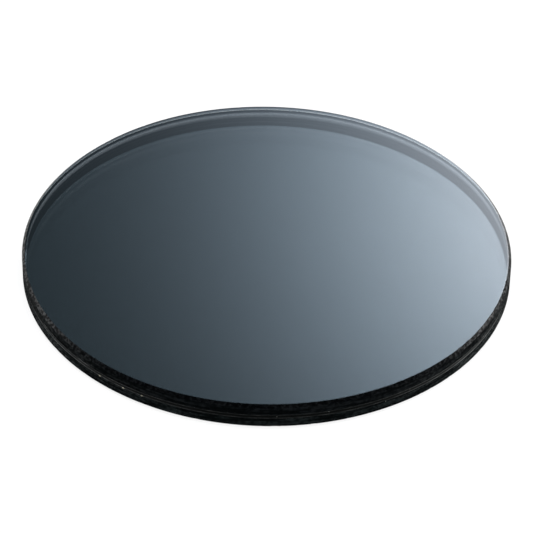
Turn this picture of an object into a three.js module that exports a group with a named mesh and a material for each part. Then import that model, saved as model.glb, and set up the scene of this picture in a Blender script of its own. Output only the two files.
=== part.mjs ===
// Round laminated glass filter: two clear glass plates with a dark polarizing film bonded between them.
// Units are millimetres, +Z is up, and the origin is the centre of the lower flat face.
import * as THREE from 'three';

// ---------- driving dimensions ----------
const DISC_DIAMETER = 50;
const GLASS_THICKNESS = 1.15;
const ADHESIVE_THICKNESS = 0.15;
const COVER_FILM_THICKNESS = 0.08;
const POLARIZER_THICKNESS = 0.04;
const EDGE_BEVEL = 0.28;        // 45 degree bevel on the two outer rims of the finished laminate
const ADHESIVE_SETBACK = 0.06;  // the soft adhesive ends just inside the ground edge
const FILM_SETBACK = 0.03;      // the films are trimmed almost flush with the glass
const ROUND_FACETS = 120;

const DISC_RADIUS = DISC_DIAMETER / 2;
const ADHESIVE_RADIUS = DISC_RADIUS - ADHESIVE_SETBACK;
const FILM_RADIUS = DISC_RADIUS - FILM_SETBACK;

// ---------- materials ----------
function finish(color, roughness, metalness = 0) {
  return new THREE.MeshStandardMaterial({ color, roughness, metalness });
}

const glassFinish = finish(0x56606a, 0.08);
const adhesiveFinish = finish(0x74787a, 0.45);
const coverFilmFinish = finish(0x2b2f33, 0.3);
const polarizerFinish = finish(0x14171a, 0.3);

// ---------- shapes ----------
// A disc turned from its half section: [radius, height] pairs from the axis at the bottom to the axis at the top.
function turnedDisc(section) {
  const points = section.map(([radius, height]) => new THREE.Vector2(radius, height));
  return new THREE.LatheGeometry(points, ROUND_FACETS);
}

function plainLayer(radius, thickness) {
  return turnedDisc([
    [0, 0],
    [radius, 0],
    [radius, thickness],
    [0, thickness],
  ]);
}

// Glass plate with its bevel on the lower rim.
function lowerPlateShape() {
  return turnedDisc([
    [0, 0],
    [DISC_RADIUS - EDGE_BEVEL, 0],
    [DISC_RADIUS, EDGE_BEVEL],
    [DISC_RADIUS, GLASS_THICKNESS],
    [0, GLASS_THICKNESS],
  ]);
}

// Glass plate with its bevel on the upper rim.
function upperPlateShape() {
  return turnedDisc([
    [0, 0],
    [DISC_RADIUS, 0],
    [DISC_RADIUS, GLASS_THICKNESS - EDGE_BEVEL],
    [DISC_RADIUS - EDGE_BEVEL, GLASS_THICKNESS],
    [0, GLASS_THICKNESS],
  ]);
}

// ---------- the stack, from the lower face up ----------
const layers = [
  { name: 'lower_glass_plate', thickness: GLASS_THICKNESS, shape: lowerPlateShape(), material: glassFinish },
  {
    name: 'lower_adhesive_layer',
    thickness: ADHESIVE_THICKNESS,
    shape: plainLayer(ADHESIVE_RADIUS, ADHESIVE_THICKNESS),
    material: adhesiveFinish,
  },
  {
    name: 'lower_cover_film',
    thickness: COVER_FILM_THICKNESS,
    shape: plainLayer(FILM_RADIUS, COVER_FILM_THICKNESS),
    material: coverFilmFinish,
  },
  {
    name: 'polarizing_film',
    thickness: POLARIZER_THICKNESS,
    shape: plainLayer(FILM_RADIUS, POLARIZER_THICKNESS),
    material: polarizerFinish,
  },
  {
    name: 'upper_cover_film',
    thickness: COVER_FILM_THICKNESS,
    shape: plainLayer(FILM_RADIUS, COVER_FILM_THICKNESS),
    material: coverFilmFinish,
  },
  {
    name: 'upper_adhesive_layer',
    thickness: ADHESIVE_THICKNESS,
    shape: plainLayer(ADHESIVE_RADIUS, ADHESIVE_THICKNESS),
    material: adhesiveFinish,
  },
  { name: 'upper_glass_plate', thickness: GLASS_THICKNESS, shape: upperPlateShape(), material: glassFinish },
];

// LatheGeometry turns its section about Y, so the stack is built along Y and tipped up to +Z at the end.
function buildFilter() {
  const filter = new THREE.Group();
  let height = 0;
  for (const layer of layers) {
    const mesh = new THREE.Mesh(layer.shape, layer.material.clone());
    mesh.name = layer.name;
    mesh.position.y = height;
    filter.add(mesh);
    height += layer.thickness;
  }
  filter.rotation.x = Math.PI / 2;
  return filter;
}

export default buildFilter();
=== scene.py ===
"""Round laminated glass filter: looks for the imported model, in metres, in the model's own frame."""
import math
import random

import bmesh
import bpy
from mathutils import Matrix, Vector


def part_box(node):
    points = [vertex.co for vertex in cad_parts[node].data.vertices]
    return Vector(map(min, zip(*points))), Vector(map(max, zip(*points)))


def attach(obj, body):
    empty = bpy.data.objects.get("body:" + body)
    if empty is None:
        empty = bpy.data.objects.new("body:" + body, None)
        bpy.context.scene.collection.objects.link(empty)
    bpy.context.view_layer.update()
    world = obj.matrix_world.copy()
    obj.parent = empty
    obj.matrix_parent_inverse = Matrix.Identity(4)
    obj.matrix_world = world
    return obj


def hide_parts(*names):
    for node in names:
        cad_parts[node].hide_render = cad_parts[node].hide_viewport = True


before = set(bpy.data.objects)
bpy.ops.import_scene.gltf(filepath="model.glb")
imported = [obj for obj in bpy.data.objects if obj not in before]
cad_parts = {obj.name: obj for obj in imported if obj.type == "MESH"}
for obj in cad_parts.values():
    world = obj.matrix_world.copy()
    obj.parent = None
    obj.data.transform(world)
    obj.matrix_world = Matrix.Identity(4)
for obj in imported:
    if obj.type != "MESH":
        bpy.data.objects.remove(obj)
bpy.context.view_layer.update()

MM = 0.001
PER_MM = 1 / MM
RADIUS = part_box("upper_glass_plate")[1][0]
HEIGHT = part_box("upper_glass_plate")[1][2]
CENTRE = Vector((0.0, 0.0, HEIGHT / 2))
BEVEL = 0.28 * MM
ROUND_STEPS = 1440
LAYER_GAP = 0.002 * MM
SEAM_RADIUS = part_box("upper_adhesive_layer")[1][0] - 0.01 * MM
FILM_MARGIN = 0.30 * MM
ROLL_WIDTH = 0.12 * MM
ROLL_DROP = 0.004 * MM
FLAT_RING_SHARES = (0.25, 0.5, 0.75, 0.92)

# How worn an edge is: its waviness, its deepest chip and its number of chips.
SEAM_EDGE_WEAR = (0.004 * MM, 0.05 * MM, 60)
BEVEL_EDGE_WEAR = (0.004 * MM, 0.04 * MM, 40)
FACE_EDGE_WEAR = (0.003 * MM, 0.03 * MM, 50)
LAYER_EDGE_WEAR = (0.004 * MM, 0.008 * MM, 80)
WAVES_ROUND = (23, 41, 67, 113, 171)
WAVES_ADDED = 4
CHIP_REACHES = (1, 1, 1, 2, 2, 3)
CHIP_DEPTHS = (0.3, 1.0)


# ---------- camera ----------
CAMERA_ELEVATION = math.radians(38.03)
CAMERA_ROLL = math.radians(1.10)
CAMERA_DISTANCE = 12.2 * RADIUS
CAMERA_LENS = 200.8
CAMERA_SENSOR = 36.0
CAMERA_CLIP = (0.01, 20.0)
AIM_BELOW_CENTRE = 1.005 * MM


def make_camera():
    """A long lens in front of the disc and above it, level but for a slight roll."""
    right = Vector((1.0, 0.0, 0.0))
    up = Vector((0.0, math.sin(CAMERA_ELEVATION), math.cos(CAMERA_ELEVATION)))
    back = Vector((0.0, -math.cos(CAMERA_ELEVATION), math.sin(CAMERA_ELEVATION)))
    data = bpy.data.cameras.new("camera")
    data.lens = CAMERA_LENS
    data.sensor_width = CAMERA_SENSOR
    data.clip_start, data.clip_end = CAMERA_CLIP
    camera = bpy.data.objects.new("camera", data)
    turn = Matrix((right, up, back)).transposed().to_4x4()
    dip = Matrix.Rotation(-math.atan(AIM_BELOW_CENTRE / CAMERA_DISTANCE), 4, "X")
    place = Matrix.Translation(CENTRE + back * CAMERA_DISTANCE)
    camera.matrix_world = place @ turn @ dip @ Matrix.Rotation(CAMERA_ROLL, 4, "Z")
    bpy.context.scene.collection.objects.link(camera)
    bpy.context.scene.camera = camera


# ---------- turned meshes ----------
def worn_edge(seed, waviness, chip_depth, chips):
    """How far an edge is worn back at each step round the disc: a slow waviness and small chips."""
    draw = random.Random(seed)
    waves = [(draw.choice(WAVES_ROUND), draw.uniform(0, 2 * math.pi)) for _ in range(WAVES_ADDED)]
    wear = []
    for k in range(ROUND_STEPS):
        angle = 2 * math.pi * k / ROUND_STEPS
        level = sum(math.sin(count * angle + phase) for count, phase in waves) / len(waves)
        wear.append(waviness * (0.5 + 0.5 * level))
    for _ in range(chips):
        middle = draw.randrange(ROUND_STEPS)
        reach = draw.choice(CHIP_REACHES)
        depth = chip_depth * draw.uniform(*CHIP_DEPTHS)
        for offset in range(-reach, reach + 1):
            k = (middle + offset) % ROUND_STEPS
            wear[k] = max(wear[k], depth * (1 - (offset / (reach + 1)) ** 2))
    return wear


def turned(name, profile, materials, bands):
    """A closed solid turned about Z.

    profile runs from the axis at the bottom, round the outside, to the axis at the top. Each row is
    (radius, z, slide, wear): slide is the way in (radius, z) that wear moves the edge, or None.
    bands gives the material of each step of the profile.
    """
    verts, rings = [], []
    for radius, z, slide, wear in profile:
        first = len(verts)
        if radius == 0:
            rings.append([first] * ROUND_STEPS)
            verts.append((0.0, 0.0, z))
            continue
        rings.append(list(range(first, first + ROUND_STEPS)))
        for k in range(ROUND_STEPS):
            angle = 2 * math.pi * k / ROUND_STEPS
            out = radius + (slide[0] * wear[k] if slide else 0.0)
            up = z + (slide[1] * wear[k] if slide else 0.0)
            verts.append((out * math.cos(angle), out * math.sin(angle), up))
    faces, index = [], []
    for band, low, high in zip(bands, rings, rings[1:]):
        for k in range(ROUND_STEPS):
            n = (k + 1) % ROUND_STEPS
            face = [low[k], low[n], high[n], high[k]]
            faces.append([v for j, v in enumerate(face) if v not in face[:j]])
            index.append(band)
    mesh = bpy.data.meshes.new(name)
    mesh.from_pydata(verts, [], faces)
    for material in materials:
        mesh.materials.append(material)
    mesh.polygons.foreach_set("material_index", index)
    mesh.polygons.foreach_set("use_smooth", [True] * len(faces))
    mesh.update()
    keep_rings_sharp(mesh, rings)
    piece = bpy.data.objects.new(name, mesh)
    bpy.context.scene.collection.objects.link(piece)
    return piece


def keep_rings_sharp(mesh, rings):
    """Marks the edges along each ring as sharp, so that flats stay flat beside the bevels."""
    ring_of = {vertex: i for i, ring in enumerate(rings) for vertex in ring}
    sharp = [ring_of[edge.vertices[0]] == ring_of[edge.vertices[1]] for edge in mesh.edges]
    mesh.attributes.new("sharp_edge", "BOOLEAN", "EDGE").data.foreach_set("value", sharp)


def place_piece(piece, node_name):
    """Puts the piece in the place of this CAD node."""
    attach(piece, "root")
    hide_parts(node_name)


# ---------- shader nodes ----------
def new_material(name):
    """An empty material, with no nodes yet."""
    material = bpy.data.materials.new(name)
    material.use_nodes = True
    material.node_tree.nodes.clear()
    return material


def node(tree, kind, values=None, **settings):
    """A shader node. Each value is a number, a colour, or another node's output to link in."""
    made = tree.nodes.new("ShaderNode" + kind)
    for name, setting in settings.items():
        setattr(made, name, setting)
    for key, value in (values or {}).items():
        if isinstance(value, bpy.types.NodeSocket):
            tree.links.new(value, made.inputs[key])
        else:
            made.inputs[key].default_value = value
    return made


def math_node(tree, operation, *terms):
    return node(tree, "Math", dict(enumerate(terms)), operation=operation).outputs[0]


def noise(tree, stretch, detail=3.0):
    """Noise from 0 to 1 on the object, with this many features per millimetre along X, Y and Z."""
    here = node(tree, "TexCoord").outputs["Object"]
    scale = tuple(PER_MM * s for s in stretch)
    at = node(tree, "Mapping", {"Vector": here, "Scale": scale}).outputs[0]
    return node(tree, "TexNoise", {"Vector": at, "Scale": 1.0, "Detail": detail}).outputs["Fac"]


def between(tree, value, low, high, to_low=0.0, to_high=1.0):
    """value taken from the range low..high to to_low..to_high, and held there."""
    values = {"Value": value, "From Min": low, "From Max": high, "To Min": to_low, "To Max": to_high}
    return node(tree, "MapRange", values).outputs["Result"]


def blend_colours(tree, factor, first, second):
    """The first colour where factor is 0, and the second where it is 1."""
    made = node(tree, "Mix", {0: factor, 6: (*first, 1), 7: (*second, 1)}, data_type="RGBA")
    return made.outputs[2]


def specks(tree, per_mm, size, share):
    """1 on small round specks and 0 elsewhere: size is in cells, and share is how many cells hold one."""
    here = node(tree, "TexCoord").outputs["Object"]
    cells = node(tree, "TexVoronoi", {"Vector": here, "Scale": PER_MM * per_mm})
    near = between(tree, cells.outputs["Distance"], size, size * SPECK_CORE)
    lucky = math_node(tree, "LESS_THAN", cells.outputs["Color"], share)
    return math_node(tree, "MULTIPLY", near, lucky)


def finish_material(material, shader):
    node(material.node_tree, "OutputMaterial", {"Surface": shader.outputs[0]})
    return material


def two_sided(material, outside, inside):
    """outside shows from outside the piece, and inside through its glass."""
    tree = material.node_tree
    back = node(tree, "NewGeometry").outputs["Backfacing"]
    values = {0: back, 1: outside.outputs[0], 2: inside.outputs[0]}
    return finish_material(material, node(tree, "MixShader", values))


# ---------- materials ----------
GLASS_IOR = 1.52
FACE_TINT = (0.115, 0.123, 0.128)
MIRROR_TINT = (0.88, 0.90, 0.88)
UNDERSIDE = (0.010, 0.012, 0.014)

# Inner surfaces, seen through the glass: how much of the light behind them they let in.
UPPER_SEAM_GLOW = (0.92, 0.98, 1.0)
LOWER_SEAM_GLOW = (0.04, 0.04, 0.04)
LOWER_RIM_GLOW = (0.32, 0.352, 0.384)
UPPER_RIM_GLOW = (0.36, 0.40, 0.44)
UNLIT = (0.004, 0.004, 0.005)

# The lower rim's glow starts this far below the seam, and the upper rim's ends this far above it.
LOWER_GLOW_DEPTH = 0.35 * MM
UPPER_GLOW_HEIGHT = 0.5 * MM
GLOW_LEFT_AT_BOTTOM = 0.25

# Ground glass: its dark and pale colours, the colour of its painted sheen, its mean gloss and its range of
# roughness.
LOWER_RIM = ((0.0007, 0.0011, 0.0012), (0.0080, 0.0104, 0.0108), (0.032, 0.035, 0.035), 0.002, (0.38, 0.6))
UPPER_RIM = ((0.0007, 0.0011, 0.0012), (0.0054, 0.0064, 0.0072), (0.022, 0.0242, 0.0242), 0.002, (0.38, 0.6))
UPPER_BEVEL = ((0.0002, 0.0002, 0.0003), (0.0014, 0.0015, 0.0017), (0.028, 0.031, 0.031), 0.15, (0.2, 0.42))
# Pale specks: chips in the ground glass, whose pale colour is partly a painted glint.
SPECK = (0.11, 0.115, 0.11)
SPECKS = {"per_mm": 2.6, "size": 0.22, "share": 0.035}
SPECK_CORE = 0.6

# Cut edges of the layers: their dark and pale colours, and the colour of their painted sheen.
ADHESIVE_EDGE = ((0.003, 0.004, 0.004), (0.024, 0.025, 0.0245), (0.38, 0.39, 0.38))
FILM_EDGE = ((0.001, 0.001, 0.001), (0.004, 0.005, 0.005), (0.12, 0.123, 0.12))

# How fast the painted sheen rises towards the sides and fades at the outline, and its strength.
SHEEN_RISE, SHEEN_FADE, SHEEN_STRENGTH = 5.0, 2.0, 18.0

# Noise features per millimetre along X, Y and Z.
MOTTLE = (2.2, 2.2, 3.0)
STREAKS = (0.3, 0.3, 4.2)
GRAIN = (3.0, 3.0, 4.6)
DASHES = (0.9, 0.9, 4.0)
CRUMBS = (7.0, 7.0, 9.0)
FILM_STREAKS = (0.8, 0.8, 30.0)
COLOUR_PATCHES = (12.0, 12.0, 12.0)
ROUGH_PATCHES = (20.0, 20.0, 20.0)

# The range of a noise that is used, then the range that it is stretched to.
STREAK_RANGE = (0.43, 0.57, 0.15, 1.3)
CLOUD_RANGE = (0.42, 0.60, 0.15, 0.95)
GRIT_RANGE = (0.46, 0.60, 0.1, 3.2)
DASH_RANGE = (0.38, 0.60, 0.15, 1.0)
CRUMB_RANGE = (0.35, 0.65, 0.4, 1.0)
# The next range sets the patches of the adhesive edges' painted sheen.
SHEEN_PATCH_RANGE = (0.1, 0.7, 0.5, 1.2)

# Ground glass: its gloss varies between these shares of the mean, and its bump is grain and streaks added.
GLOSS_SHARES = (0.4, 1.9)
STREAK_BUMP = 1.5
BUMP_STRENGTH = 0.5
BUMP_DEPTH = 0.022 * MM


def polished_face():
    """The polished top: smoked glass that bends the view down to what is under it."""
    material = new_material("polished_glass")
    values = {
        "Base Color": (*FACE_TINT, 1),
        "Roughness": 0.0,
        "IOR": GLASS_IOR,
        "Transmission Weight": 1.0,
        "Coat Weight": 1.0,
        "Coat Roughness": 0.0,
        "Coat IOR": GLASS_IOR,
    }
    return finish_material(material, node(material.node_tree, "BsdfPrincipled", values))


def polished_underside():
    """The polished bottom: a dark gloss from below, and a mirror seen through the glass."""
    material = new_material("polished_underside")
    tree = material.node_tree
    outside = node(tree, "BsdfPrincipled", {"Base Color": (*UNDERSIDE, 1), "Roughness": 0.03})
    inside = node(tree, "BsdfGlossy", {"Color": (*MIRROR_TINT, 1), "Roughness": 0.0})
    return two_sided(material, outside, inside)


def painted_sheen_share(tree):
    """A painted sheen, as a share of a paler colour: 0 on what is seen square on, rising towards the sides
    and fading at the outline.
    """
    facing = node(tree, "LayerWeight", {"Blend": 0.5}).outputs["Facing"]
    rise = math_node(tree, "POWER", facing, SHEEN_RISE)
    fade = math_node(tree, "POWER", math_node(tree, "SUBTRACT", 1.0, facing), SHEEN_FADE)
    return math_node(tree, "MULTIPLY", math_node(tree, "MULTIPLY", rise, fade), SHEEN_STRENGTH)


def lighten(tree, factor, colour, pale):
    """This colour socket, turned pale where factor is 1."""
    return node(tree, "Mix", {0: factor, 6: colour, 7: (*pale, 1)}, data_type="RGBA").outputs[2]


def ground_glass(tree, dark, pale, sheen, gloss, roughness):
    """Fine-ground glass from outside: near black and satin, mottled, streaked along the rim, with a painted
    sheen towards the sides, and pale specks: chips whose pale colour is partly a painted glint.
    """
    mottle = noise(tree, MOTTLE, detail=5.0)
    streak = noise(tree, STREAKS)
    grain = noise(tree, GRAIN)
    streaks = between(tree, streak, *STREAK_RANGE)
    cloud = math_node(tree, "MULTIPLY", between(tree, mottle, *CLOUD_RANGE), streaks)
    # grit: the grain and streaks in which the painted sheen shows.
    grit = math_node(tree, "MULTIPLY", between(tree, grain, *GRIT_RANGE), streaks)
    colour = blend_colours(tree, cloud, dark, pale)
    # Painted sheen: the colour turns pale towards the sides, in the grit's pattern.
    colour = lighten(tree, math_node(tree, "MULTIPLY", painted_sheen_share(tree), grit), colour, sheen)
    # Pale specks: chips, partly painted glints.
    colour = lighten(tree, specks(tree, **SPECKS), colour, SPECK)
    height = math_node(tree, "ADD", grain, math_node(tree, "MULTIPLY", streak, STREAK_BUMP))
    bump = node(tree, "Bump", {"Strength": BUMP_STRENGTH, "Distance": BUMP_DEPTH, "Height": height})
    least_gloss, most_gloss = (share * gloss for share in GLOSS_SHARES)
    values = {
        "Base Color": colour,
        "Roughness": between(tree, mottle, 0.3, 0.7, *roughness),
        "Specular IOR Level": between(tree, grain, *GRIT_RANGE[:2], least_gloss, most_gloss),
        "Normal": bump.outputs[0],
    }
    return node(tree, "BsdfPrincipled", values)


def ground_rim(name, look, dark_height, bright_height, glow):
    """A ground rim: near black from outside. Its inside glows more towards bright_height."""
    material = new_material(name)
    tree = material.node_tree
    outside = ground_glass(tree, *look)
    height = node(tree, "SeparateXYZ", {0: node(tree, "TexCoord").outputs["Object"]}).outputs["Z"]
    grow = between(tree, height, dark_height, bright_height)
    share = math_node(tree, "MULTIPLY", grow, between(tree, height, 0.0, BEVEL, GLOW_LEFT_AT_BOTTOM, 1.0))
    inside = node(tree, "BsdfTranslucent", {"Color": blend_colours(tree, share, UNLIT, glow)})
    return two_sided(material, outside, inside)


def ground_bevel():
    """The upper bevel: finer ground than the rim, so that its gloss catches the lights at its sides, where a
    painted sheen lightens it too.
    """
    material = new_material("upper_ground_bevel")
    tree = material.node_tree
    outside = ground_glass(tree, *UPPER_BEVEL)
    return two_sided(material, outside, node(tree, "BsdfDiffuse", {"Color": (*UNLIT, 1)}))


def bonded_face():
    """Glass against adhesive, where neither bends nor mirrors the view."""
    material = new_material("bonded_face")
    return finish_material(material, node(material.node_tree, "BsdfTransparent", {"Color": (1, 1, 1, 1)}))


def adhesive_edge(name, glow):
    """The cut edge of an adhesive layer: patchy grey dashes and a painted sheen towards the sides from
    outside, and glow from inside.
    """
    material = new_material(name)
    tree = material.node_tree
    dash = between(tree, noise(tree, DASHES, detail=6.0), *DASH_RANGE)
    crumb = between(tree, noise(tree, CRUMBS, detail=2.0), *CRUMB_RANGE)
    patch = math_node(tree, "MULTIPLY", dash, crumb)
    dark, pale, sheen = ADHESIVE_EDGE
    plain = blend_colours(tree, patch, dark, pale)
    # Painted sheen: the edge's colour turns pale towards the sides, in patches.
    painted_sheen_patches = math_node(tree, "MULTIPLY", painted_sheen_share(tree), between(tree, patch, *SHEEN_PATCH_RANGE))
    values = {
        "Base Color": lighten(tree, painted_sheen_patches, plain, sheen),
        "Roughness": between(tree, patch, 0.0, 1.0, 0.4, 0.6),
        "Specular IOR Level": 0.02,
    }
    outside = node(tree, "BsdfPrincipled", values)
    return two_sided(material, outside, node(tree, "BsdfTranslucent", {"Color": (*glow, 1)}))


def film_edge():
    """The cut edge of a film: black, with faint streaks and a painted sheen towards the sides."""
    material = new_material("film_edge")
    tree = material.node_tree
    streak = noise(tree, FILM_STREAKS)
    dark, pale, sheen = FILM_EDGE
    plain = blend_colours(tree, between(tree, streak, 0.4, 0.7), dark, pale)
    # The base colour carries a painted sheen towards the sides.
    values = {
        "Base Color": lighten(tree, painted_sheen_share(tree), plain, sheen),
        "Roughness": 0.5,
        "Specular IOR Level": 0.0,
    }
    outside = node(tree, "BsdfPrincipled", values)
    return two_sided(material, outside, node(tree, "BsdfDiffuse", {"Color": (*UNLIT, 1)}))


# ---------- pieces ----------
# The material slots of a plate and of a layer.
FACE, RIM, BOND, BEVELLED = range(4)
LAYER_FACE, LAYER_EDGE = range(2)
FLAT_BANDS = len(FLAT_RING_SHARES) + 1


def flat_rings(radius, z):
    """Rings across a flat face, so that it isn't one fan of slivers."""
    return [(radius * share, z, None, None) for share in FLAT_RING_SHARES]


def glass_plate(name, node_name, facing_up, face, rim, bond, bevel, seed):
    """One glass plate: a polished face with a ground bevel on one side, and a bonded face on the other."""
    low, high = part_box(node_name)
    outer, bonded = (high[2], low[2]) if facing_up else (low[2], high[2])
    inward = -1 if facing_up else 1
    flat_radius = RADIUS - BEVEL
    rows = [(0, bonded, None, None)]
    rows += flat_rings(RADIUS, bonded)
    rows += [
        (SEAM_RADIUS, bonded, None, None),
        (RADIUS, bonded, (0, -inward), worn_edge(seed, *SEAM_EDGE_WEAR)),
        (RADIUS, outer + inward * BEVEL, (0, inward), worn_edge(seed + 1, *BEVEL_EDGE_WEAR)),
        (flat_radius, outer + inward * ROLL_DROP, (-1, 0), worn_edge(seed + 2, *FACE_EDGE_WEAR)),
        (flat_radius - ROLL_WIDTH, outer, None, None),
    ]
    rows += flat_rings(flat_radius, outer)[::-1]
    rows += [(0, outer, None, None)]
    bands = [BOND] * FLAT_BANDS + [RIM, RIM, BEVELLED, FACE] + [FACE] * FLAT_BANDS
    if not facing_up:
        rows, bands = rows[::-1], bands[::-1]
    piece = turned(name, rows, [face, rim, bond, bevel], bands)
    place_piece(piece, node_name)


def bonded_layer(name, node_name, slot, face, edge, seed):
    """A thin layer between the plates, a hair clear of its neighbours. A film has a dark margin on top."""
    low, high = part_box(node_name)
    bottom, top, radius = low[2] + LAYER_GAP, high[2] - LAYER_GAP, high[0]
    trim = worn_edge(seed, *LAYER_EDGE_WEAR)
    rows = [(0, bottom, None, None)] + flat_rings(radius, bottom)
    rows += [(radius, bottom, (-1, 0), trim), (radius, top, (-1, 0), trim)]
    rows += [(radius - FILM_MARGIN, top, None, None)]
    rows += flat_rings(radius, top)[::-1] + [(0, top, None, None)]
    margin = LAYER_FACE if slot == "optical_adhesive" else LAYER_EDGE
    flat = [LAYER_FACE] * FLAT_BANDS
    piece = turned(name, rows, [face, edge], flat + [LAYER_EDGE, margin] + flat)
    place_piece(piece, node_name)


FLECK_ANGLES = (230.0, 236.7, 241.7)
FLECK_LENGTH = 0.38 * MM
FLECK_SHARES = (1.0, 0.9, 0.7)
FLECK_THICKNESS = 0.16 * MM
FLECK_SUNK = 0.3
LUMPS = (0.82, 1.0)
GRIT_COUNT = 60
GRIT_LENGTHS = (0.05 * MM, 0.13 * MM)
GRIT_THINNESS = 0.6
DRIED_ADHESIVE = ((0.13, 0.12, 0.095), (0.25, 0.235, 0.19))
GLASS_GRIT = ((0.05, 0.053, 0.05), (0.11, 0.115, 0.11))


def fleck(bm, draw, angle, z, length, thickness, index):
    """A lumpy crumb on the rim at this angle, long round the rim, thin up and down."""
    crumb = bmesh.ops.create_icosphere(bm, subdivisions=2, radius=1.0)["verts"]
    place = Matrix.Rotation(angle, 4, "Z") @ Matrix.Translation((RADIUS - FLECK_SUNK * thickness, 0, z))
    size = Matrix.Diagonal((thickness / 2, length / 2, thickness / 2, 1))
    for vert in crumb:
        vert.co = place @ size @ (vert.co * draw.uniform(*LUMPS))
    for face in {face for vert in crumb for face in vert.link_faces}:
        face.material_index = index
        face.smooth = True


def crumb_material(name, dark, pale):
    """Dried adhesive or glass grit: pale, rough and slightly uneven in colour."""
    material = new_material(name)
    tree = material.node_tree
    patch = between(tree, noise(tree, COLOUR_PATCHES), 0.35, 0.65)
    values = {
        "Base Color": blend_colours(tree, patch, dark, pale),
        "Roughness": between(tree, noise(tree, ROUGH_PATCHES), 0.3, 0.7, 0.5, 0.8),
        "Specular IOR Level": 0.2,
    }
    return finish_material(material, node(tree, "BsdfPrincipled", values))


def edge_flecks():
    """Three cream flecks of squeezed-out adhesive on the lower seam, and fine grit round the rim."""
    draw = random.Random(5)
    low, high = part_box("lower_adhesive_layer")
    seam = (low[2] + high[2]) / 2
    bm = bmesh.new()
    for degrees, share in zip(FLECK_ANGLES, FLECK_SHARES):
        fleck(bm, draw, math.radians(degrees), seam, FLECK_LENGTH * share, FLECK_THICKNESS, 0)
    for _ in range(GRIT_COUNT):
        angle = draw.uniform(0, 2 * math.pi)
        z = draw.uniform(2 * BEVEL, HEIGHT - 2 * BEVEL)
        length = draw.uniform(*GRIT_LENGTHS)
        fleck(bm, draw, angle, z, length, GRIT_THINNESS * length, 1)
    mesh = bpy.data.meshes.new("edge_flecks")
    bm.to_mesh(mesh)
    bm.free()
    mesh.materials.append(crumb_material("dried_adhesive", *DRIED_ADHESIVE))
    mesh.materials.append(crumb_material("glass_grit", *GLASS_GRIT))
    piece = bpy.data.objects.new("edge_flecks", mesh)
    bpy.context.scene.collection.objects.link(piece)
    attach(piece, "root")


def make_filter():
    """The whole laminate, from the bottom plate up."""
    bond, cut_film = bonded_face(), film_edge()
    low_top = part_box("lower_glass_plate")[1][2]
    high_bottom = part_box("upper_glass_plate")[0][2]
    low_dark, high_dark = low_top - LOWER_GLOW_DEPTH, high_bottom + UPPER_GLOW_HEIGHT
    low_rim = ground_rim("lower_ground_rim", LOWER_RIM, low_dark, BEVEL, LOWER_RIM_GLOW)
    high_rim = ground_rim("upper_ground_rim", UPPER_RIM, high_dark, high_bottom, UPPER_RIM_GLOW)
    upper_seam = adhesive_edge("upper_adhesive_edge", UPPER_SEAM_GLOW)
    lower_seam = adhesive_edge("lower_adhesive_edge", LOWER_SEAM_GLOW)
    top, underside, bevel = polished_face(), polished_underside(), ground_bevel()
    glass_plate("lower_glass", "lower_glass_plate", False, underside, low_rim, bond, low_rim, seed=11)
    bonded_layer("lower_adhesive", "lower_adhesive_layer", "optical_adhesive", bond, lower_seam, seed=21)
    bonded_layer("lower_film", "lower_cover_film", "cover_film", bond, cut_film, seed=31)
    bonded_layer("polarizer", "polarizing_film", "polarizing_film", bond, cut_film, seed=41)
    bonded_layer("upper_film", "upper_cover_film", "cover_film", bond, cut_film, seed=51)
    bonded_layer("upper_adhesive", "upper_adhesive_layer", "optical_adhesive", bond, upper_seam, seed=61)
    glass_plate("upper_glass", "upper_glass_plate", True, top, high_rim, bond, bevel, seed=71)
    edge_flecks()


# ---------- studio ----------
FLOOR_RADIUS = 1.0
COVE_RADIUS = 0.3
BACKDROP_HEIGHT = 0.75
FLOOR_STEPS = 96
COVE_STEPS = 12
FLOOR_DROP = 0.02 * MM
PAPER = (0.12, 0.12, 0.12)
PAPER_GLOW = 0.85
WHITE = (1, 1, 1)
FADE_HEIGHTS = (0.26, 0.66)
# The backdrop's glow fades to this colour higher up.
FADED_GLOW = (0.28, 0.36, 0.44)
ROOM_GLOW = (0.068, 0.101, 0.122)
SOFTBOX_SIZE = 0.85
SOFTBOX_SPREAD = (0.125, 0.105)
SOFTBOX_MIDDLE = (1.02, 1.0, 1.03)
SOFTBOX_OUTSIDE = (0.80, 1.0, 1.22)


def pale_paper():
    """White paper that glows like a light box, its glow fading to a cool grey up the backdrop."""
    material = new_material("pale_paper")
    tree = material.node_tree
    height = node(tree, "SeparateXYZ", {0: node(tree, "TexCoord").outputs["Object"]}).outputs["Z"]
    values = {
        "Base Color": (*PAPER, 1),
        "Roughness": 0.9,
        "Specular IOR Level": 0.1,
        "Emission Color": blend_colours(tree, between(tree, height, *FADE_HEIGHTS), WHITE, FADED_GLOW),
        "Emission Strength": PAPER_GLOW,
    }
    return finish_material(material, node(tree, "BsdfPrincipled", values))


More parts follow.
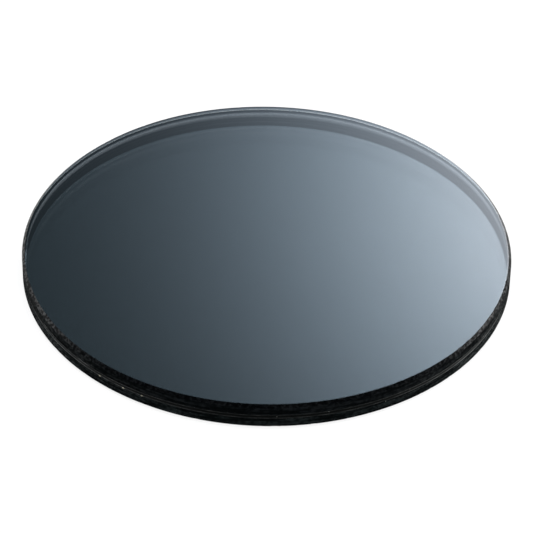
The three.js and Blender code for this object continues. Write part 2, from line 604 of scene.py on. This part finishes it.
def make_floor():
    """A pale round floor that curves up into a backdrop all round."""
    profile = [(FLOOR_RADIUS, -FLOOR_DROP)]
    for k in range(1, COVE_STEPS + 1):
        bend = math.pi / 2 * k / COVE_STEPS
        profile.append((FLOOR_RADIUS + COVE_RADIUS * math.sin(bend), COVE_RADIUS * (1 - math.cos(bend))))
    profile.append((FLOOR_RADIUS + COVE_RADIUS, BACKDROP_HEIGHT))
    verts, faces = [(0, 0, -FLOOR_DROP)], []
    for radius, z in profile:
        for k in range(FLOOR_STEPS):
            angle = 2 * math.pi * k / FLOOR_STEPS
            verts.append((radius * math.cos(angle), radius * math.sin(angle), z))
    for k in range(FLOOR_STEPS):
        n = (k + 1) % FLOOR_STEPS
        faces.append((0, 1 + k, 1 + n))
        for ring in range(len(profile) - 1):
            low = 1 + ring * FLOOR_STEPS
            high = low + FLOOR_STEPS
            faces.append((low + k, high + k, high + n, low + n))
    mesh = bpy.data.meshes.new("floor")
    mesh.from_pydata(verts, [], faces)
    mesh.polygons.foreach_set("use_smooth", [True] * len(faces))
    mesh.materials.append(pale_paper())
    floor = bpy.data.objects.new("floor", mesh)
    bpy.context.scene.collection.objects.link(floor)


def towards(azimuth, elevation):
    """A direction from the disc: azimuth 0 is away from the camera, and 90 is to its right."""
    a, e = math.radians(azimuth), math.radians(elevation)
    return Vector((math.sin(a) * math.cos(e), math.cos(a) * math.cos(e), math.sin(e)))


def area_light(name, way, distance, size, luminance, mirrored=True):
    """A square light facing the disc, of this luminance at its brightest, mirrored in gloss or not."""
    data = bpy.data.lights.new(name, "AREA")
    data.shape = "SQUARE"
    data.size = size
    data.energy = luminance * math.pi * size ** 2
    light = bpy.data.objects.new(name, data)
    light.location = CENTRE + way * distance
    light.rotation_euler = way.to_track_quat("Z", "Y").to_euler()
    light.visible_camera = False
    light.visible_glossy = mirrored
    light.visible_transmission = mirrored
    bpy.context.scene.collection.objects.link(light)
    return data


def fade_light(data):
    """Fades the softbox out from its middle, and turns it bluer as it fades."""
    width, height = (spread / data.size for spread in SOFTBOX_SPREAD)
    data.use_nodes = True
    tree = data.node_tree
    across = node(tree, "NewGeometry").outputs["Parametric"]
    centred = node(tree, "VectorMath", {0: across, 1: (0.5, 0.5, 0)}, operation="SUBTRACT").outputs[0]
    scaled = node(tree, "VectorMath", {0: centred, 1: (width, height, 1)}, operation="DIVIDE").outputs[0]
    square = node(tree, "VectorMath", {0: scaled, 1: scaled}, operation="DOT_PRODUCT").outputs["Value"]
    glow = math_node(tree, "EXPONENT", math_node(tree, "MULTIPLY", square, -0.5))
    emission = tree.nodes["Emission"]
    tree.links.new(glow, emission.inputs["Strength"])
    colour = blend_colours(tree, glow, SOFTBOX_OUTSIDE, SOFTBOX_MIDDLE)
    tree.links.new(colour, emission.inputs["Color"])


def make_studio():
    """The floor, a dim blue-grey room and the lights, at distances and with sizes in metres."""
    make_floor()
    world = bpy.data.worlds.new("studio")
    world.use_nodes = True
    world.node_tree.nodes["Background"].inputs["Color"].default_value = (*ROOM_GLOW, 1)
    bpy.context.scene.world = world
    area_light("overhead", towards(180, 80), distance=1.2, size=1.0, luminance=7.5, mirrored=False)
    softbox = area_light("softbox", towards(15.7, 34.8), distance=1.1, size=SOFTBOX_SIZE, luminance=4.62)
    fade_light(softbox)
    area_light("right_fill", towards(65, 12), distance=0.9, size=0.5, luminance=15.0, mirrored=False)
    area_light("right_side", towards(72, 20), distance=0.9, size=0.35, luminance=3.9)
    area_light("left_side", towards(-72, 20), distance=0.9, size=0.35, luminance=1.5)


def make_look():
    """Plain display colours, and enough light bounces for the stack of glass."""
    scene = bpy.context.scene
    scene.view_settings.view_transform = "Standard"
    scene.cycles.max_bounces = 24
    scene.cycles.transmission_bounces = 24
    scene.cycles.transparent_max_bounces = 64


make_camera()
make_filter()
make_studio()
make_look()
